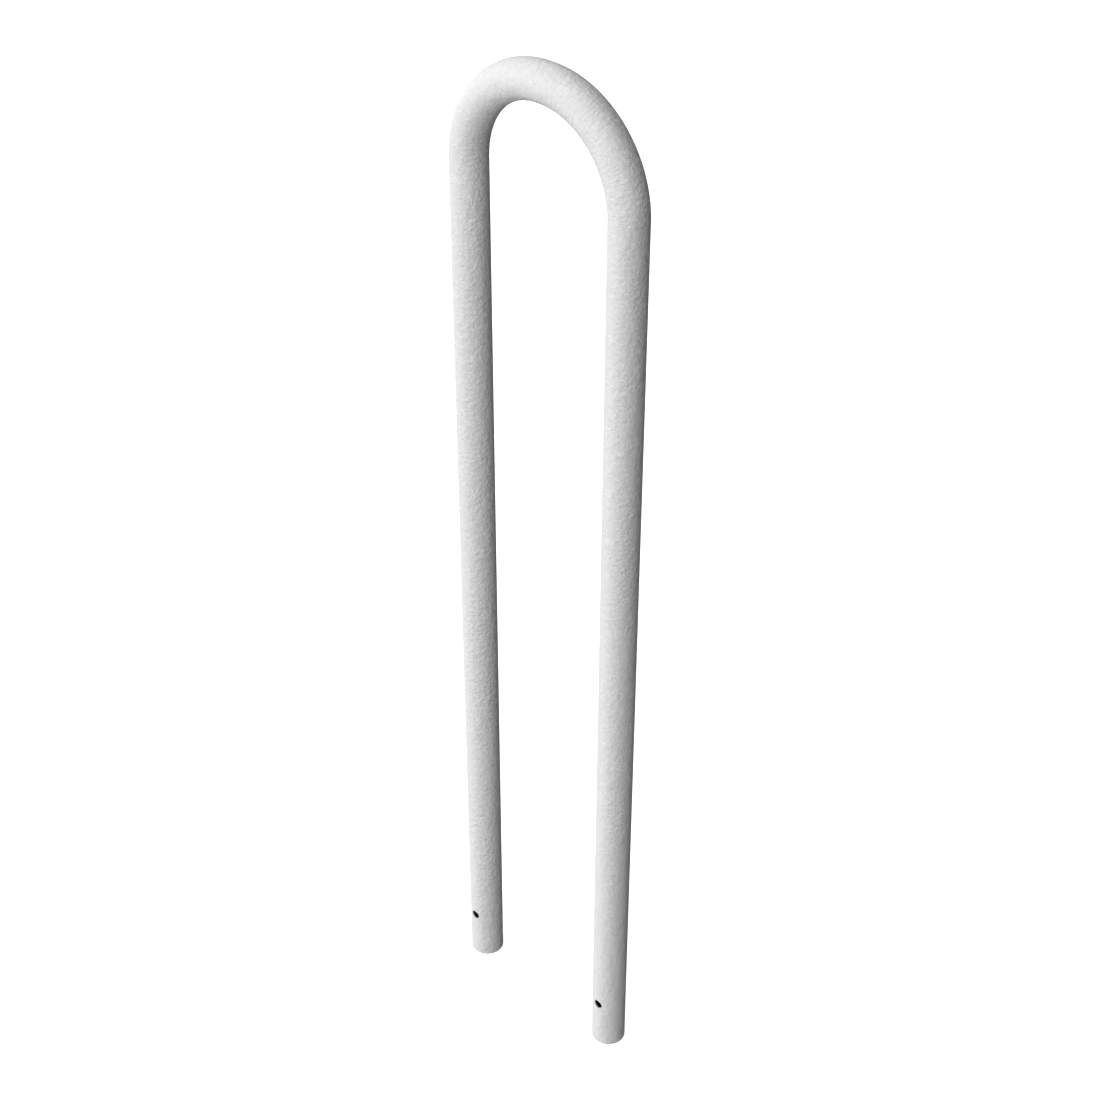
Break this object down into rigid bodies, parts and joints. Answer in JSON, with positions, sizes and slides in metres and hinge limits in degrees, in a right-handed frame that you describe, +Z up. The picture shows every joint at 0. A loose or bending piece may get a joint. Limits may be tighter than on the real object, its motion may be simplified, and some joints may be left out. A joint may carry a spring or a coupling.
{
  "type": "hoop bike rack",
  "caption": "Tall narrow inverted-U hoop of galvanised round tube for locking bicycles to, with open feet and a cross hole near each foot, to be set in the ground.",
  "frame": {"origin": "midway between the two legs, level with their lower ends", "axes": "+Z up along the legs, X from the left leg to the right leg, Y square to the hoop's plane"},
  "size_m": [0.3044, 0.0484, 1.45],
  "materials": {
    "galvanised_tube": "hot-dip galvanised steel tube, satin, pale grey with a fine mottle",
    "galvanised_weld": "weld metal ground flush and hot-dip galvanised with the tube"
  },
  "bodies": {
    "root": {"top_bend": "galvanised_tube", "left_leg": "galvanised_tube", "right_leg": "galvanised_tube", "left_weld": "galvanised_weld", "right_weld": "galvanised_weld"}
  },
  "joints": []
}
